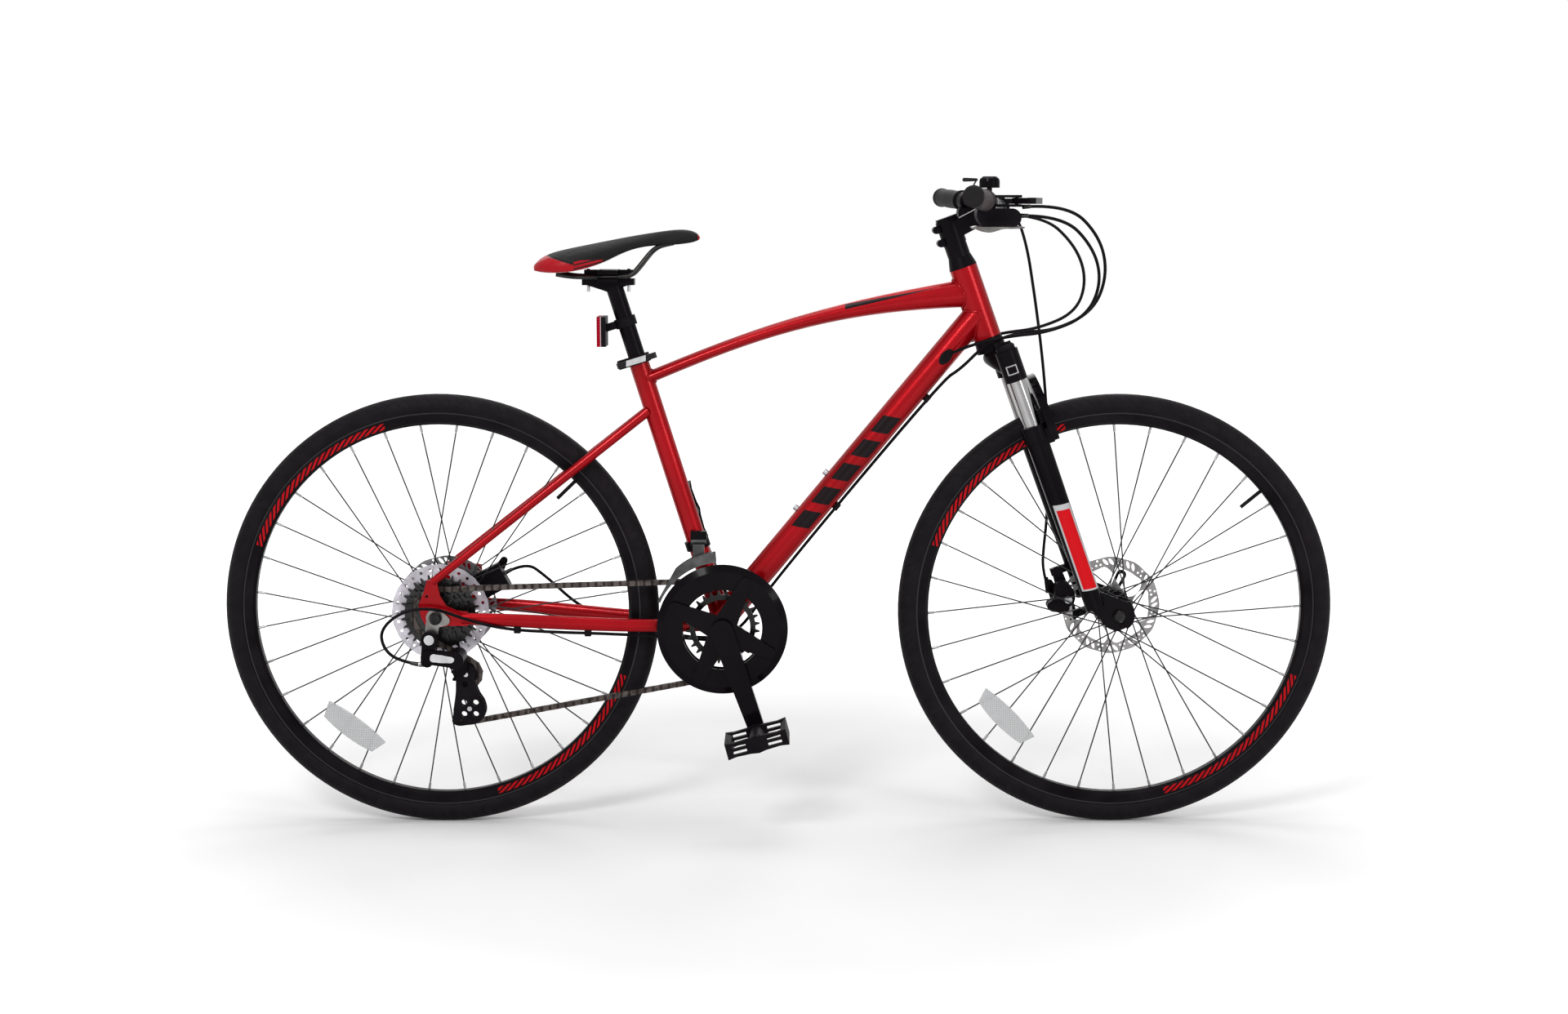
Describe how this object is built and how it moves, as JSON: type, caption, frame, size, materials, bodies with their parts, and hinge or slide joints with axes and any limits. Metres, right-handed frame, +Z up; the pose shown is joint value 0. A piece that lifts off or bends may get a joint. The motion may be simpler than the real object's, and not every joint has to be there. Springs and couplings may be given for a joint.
{
  "type": "hybrid bike",
  "caption": "Hybrid bicycle with a short-travel suspension fork, disc brakes, derailleur gears, slick tyres and a flat bar.",
  "frame": {"origin": "on the ground, midway between the two axles, in the frame's centre plane", "axes": "+X forwards, +Y to the rider's left, +Z up"},
  "size_m": [1.7757, 0.6518, 1.0358],
  "materials": {
    "red_paint": "glossy metallic red",
    "black_paint": "satin black",
    "black_gloss": "gloss black",
    "chrome": "polished",
    "silver": "satin",
    "steel": "brushed",
    "dark_steel": "blackened",
    "chain_steel": "brown grey",
    "tyre": "matt",
    "grip_rubber": "matt",
    "cable_jacket": "satin",
    "black_plastic": "matt",
    "saddle_cover": "matt with a red rear panel",
    "red_lens": "clear red",
    "clear_lens": "clear",
    "clear_disc": "clear"
  },
  "bodies": {
    "frame": {"main_frame": "red_paint", "rear_stays": "red_paint", "frame_fittings": "silver", "bearing_cups": "black_paint", "chain": "chain_steel", "rear_axle": "steel", "rear_caliper": "black_paint", "seat_clamp": "black_paint", "front_derailleur_body": "black_paint", "rear_derailleur_body": "black_paint", "control_cables": "cable_jacket"},
    "seat": {"seatpost": "black_paint", "saddle_rails": "dark_steel", "saddle": "saddle_cover", "rear_reflector": "red_lens"},
    "steering": {"fork_crown": "black_paint", "stanchions": "chrome", "stem": "black_paint", "handlebar": "black_paint", "grips": "grip_rubber", "shift_brake_units": "black_plastic", "bell": "black_gloss"},
    "lower_fork": {"fork_lowers": "black_gloss", "front_axle": "steel", "front_caliper": "black_paint"},
    "front_wheel": {"front_tyre": "tyre", "front_rim": "black_paint", "front_spokes": "steel", "front_hub": "black_paint", "front_rotor": "steel", "front_spoke_reflector": "clear_lens"},
    "rear_wheel": {"rear_tyre": "tyre", "rear_rim": "black_paint", "rear_spokes": "steel", "rear_hub": "black_paint", "rear_rotor": "steel", "rear_spoke_reflector": "clear_lens", "spoke_protector": "clear_disc"},
    "crankset": {"right_crank": "black_gloss", "left_crank": "black_gloss", "chainrings": "dark_steel", "crank_axles": "steel"},
    "seat_clamp_lever_body": {"seat_clamp_lever": "silver"},
    "bell_striker_body": {"bell_striker": "dark_steel"},
    "right_brake_lever_body": {"right_brake_lever": "black_paint"},
    "left_brake_lever_body": {"left_brake_lever": "black_paint"},
    "right_shift_lever_body": {"right_shift_lever": "black_plastic"},
    "left_shift_lever_body": {"left_shift_lever": "black_plastic"},
    "lockout_knob_body": {"lockout_knob": "black_plastic"},
    "front_caliper_arm_body": {"front_caliper_arm": "black_paint"},
    "rear_caliper_arm_body": {"rear_caliper_arm": "black_paint"},
    "front_qr_lever_body": {"front_qr_lever": "silver"},
    "rear_qr_lever_body": {"rear_qr_lever": "silver"},
    "cassette_body": {"cassette": "dark_steel"},
    "right_pedal_body": {"right_pedal": "black_plastic"},
    "left_pedal_body": {"left_pedal": "black_plastic"},
    "rear_derailleur_cage_body": {"rear_derailleur_cage": "dark_steel"},
    "guide_pulley_body": {"guide_pulley": "black_plastic"},
    "tension_pulley_body": {"tension_pulley": "black_plastic"},
    "front_derailleur_cage_body": {"front_derailleur_cage": "steel"}
  },
  "joints": [
    {"name": "steering_turn", "type": "hinge", "parent": "frame", "child": "steering", "pos_m": [0.49446, 0, 0.3316], "axis": [-0.3387, 0, 0.9409], "range_deg": [-60, 60], "deforming": ["control_cables"]},
    {"name": "fork_slide", "type": "slide", "parent": "steering", "child": "lower_fork", "axis": [-0.3387, 0, 0.9409], "range_m": [0, 0.06], "stiffness_N_per_m": 10000, "deforming": ["control_cables"]},
    {"name": "front_wheel_spin", "type": "hinge", "parent": "lower_fork", "child": "front_wheel", "pos_m": [0.54, 0, 0.348], "axis": [0, 1, 0], "continuous": true},
    {"name": "rear_wheel_spin", "type": "hinge", "parent": "frame", "child": "rear_wheel", "pos_m": [-0.54, 0, 0.348], "axis": [0, 1, 0], "continuous": true},
    {"name": "crank_spin", "type": "hinge", "parent": "frame", "child": "crankset", "pos_m": [-0.08894, 0, 0.326], "axis": [0, 1, 0], "continuous": true, "deforming": ["chain"]},
    {"name": "cassette_spin", "type": "hinge", "parent": "frame", "child": "cassette_body", "pos_m": [-0.54, 0, 0.348], "axis": [0, 1, 0], "continuous": true, "deforming": ["chain"]},
    {"name": "derailleur_cage_swing", "type": "hinge", "parent": "frame", "child": "rear_derailleur_cage_body", "pos_m": [-0.505, -0.045, 0.262], "axis": [0, 1, 0], "range_deg": [-6, 6], "stiffness_Nm_per_rad": 2, "deforming": ["chain"]},
    {"name": "guide_pulley_spin", "type": "hinge", "parent": "rear_derailleur_cage_body", "child": "guide_pulley_body", "pos_m": [-0.498, -0.045, 0.252], "axis": [0, 1, 0], "continuous": true, "deforming": ["chain"]},
    {"name": "tension_pulley_spin", "type": "hinge", "parent": "rear_derailleur_cage_body", "child": "tension_pulley_body", "pos_m": [-0.49275, -0.045, 0.19625], "axis": [0, 1, 0], "continuous": true, "deforming": ["chain"]},
    {"name": "front_derailleur_swing", "type": "hinge", "parent": "frame", "child": "front_derailleur_cage_body", "pos_m": [-0.12694, -0.026, 0.462], "axis": [1, 0, 0], "range_deg": [-5, 5], "stiffness_Nm_per_rad": 2, "deforming": ["chain"]},
    {"name": "right_pedal_spin", "type": "hinge", "parent": "crankset", "child": "right_pedal_body", "pos_m": [-0.03303, -0.12, 0.16546], "axis": [0, 1, 0], "continuous": true},
    {"name": "left_pedal_spin", "type": "hinge", "parent": "crankset", "child": "left_pedal_body", "pos_m": [-0.14485, 0.12, 0.48654], "axis": [0, 1, 0], "continuous": true},
    {"name": "seatpost_slide", "type": "slide", "parent": "frame", "child": "seat", "axis": [-0.3007, 0, 0.9537], "range_m": [-0.03, 0.04]},
    {"name": "seat_clamp_lever_turn", "type": "hinge", "parent": "frame", "child": "seat_clamp_lever_body", "pos_m": [-0.25042, -0.016, 0.74169], "axis": [0.3007, 0, -0.9537], "range_deg": [0, 90]},
    {"name": "front_qr_turn", "type": "hinge", "parent": "lower_fork", "child": "front_qr_lever_body", "pos_m": [0.54, 0.0678, 0.348], "axis": [-0.9062, 0, 0.4229], "range_deg": [0, 160]},
    {"name": "rear_qr_turn", "type": "hinge", "parent": "frame", "child": "rear_qr_lever_body", "pos_m": [-0.54, 0.0833, 0.348], "axis": [-0.4229, 0, -0.9062], "range_deg": [0, 160]},
    {"name": "right_brake_pull", "type": "hinge", "parent": "steering", "child": "right_brake_lever_body", "pos_m": [0.35685, -0.16655, 0.99928], "axis": [0, 0, -1], "range_deg": [0, 18], "stiffness_Nm_per_rad": 2},
    {"name": "left_brake_pull", "type": "hinge", "parent": "steering", "child": "left_brake_lever_body", "pos_m": [0.35685, 0.16655, 0.99928], "axis": [0, 0, 1], "range_deg": [0, 18], "stiffness_Nm_per_rad": 2},
    {"name": "front_brake_arm_turn", "type": "hinge", "parent": "lower_fork", "child": "front_caliper_arm_body", "pos_m": [0.45703, 0.0588, 0.35017], "axis": [0, 1, 0], "range_deg": [0, 20]},
    {"name": "rear_brake_arm_turn", "type": "hinge", "parent": "frame", "child": "rear_caliper_arm_body", "pos_m": [-0.46672, 0.0715, 0.38697], "axis": [0, 1, 0], "range_deg": [0, 20]},
    {"name": "right_shift_press", "type": "hinge", "parent": "steering", "child": "right_shift_lever_body", "pos_m": [0.32885, -0.17455, 0.96], "axis": [0, 0, -1], "range_deg": [0, 30], "stiffness_Nm_per_rad": 0.6},
    {"name": "left_shift_press", "type": "hinge", "parent": "steering", "child": "left_shift_lever_body", "pos_m": [0.32885, 0.17455, 0.96], "axis": [0, 0, 1], "range_deg": [0, 30], "stiffness_Nm_per_rad": 0.6},
    {"name": "bell_striker_flick", "type": "hinge", "parent": "steering", "child": "bell_striker_body", "pos_m": [0.30139, -0.14038, 0.99681], "axis": [0, 1, 0], "range_deg": [-10, 0], "stiffness_Nm_per_rad": 0.05},
    {"name": "lockout_turn", "type": "hinge", "parent": "steering", "child": "lockout_knob_body", "pos_m": [0.3545, -0.06, 0.769], "axis": [-0.3387, 0, 0.9409], "range_deg": [0, 90]}
  ],
  "couplings": [
    {"joint": "cassette_spin", "follows": "crank_spin", "ratio": 1.9},
    {"joint": "guide_pulley_spin", "follows": "crank_spin", "ratio": -3.4545},
    {"joint": "tension_pulley_spin", "follows": "crank_spin", "ratio": 3.4545},
    {"joint": "front_brake_arm_turn", "follows": "left_brake_pull", "ratio": 1},
    {"joint": "rear_brake_arm_turn", "follows": "right_brake_pull", "ratio": 1}
  ]
}
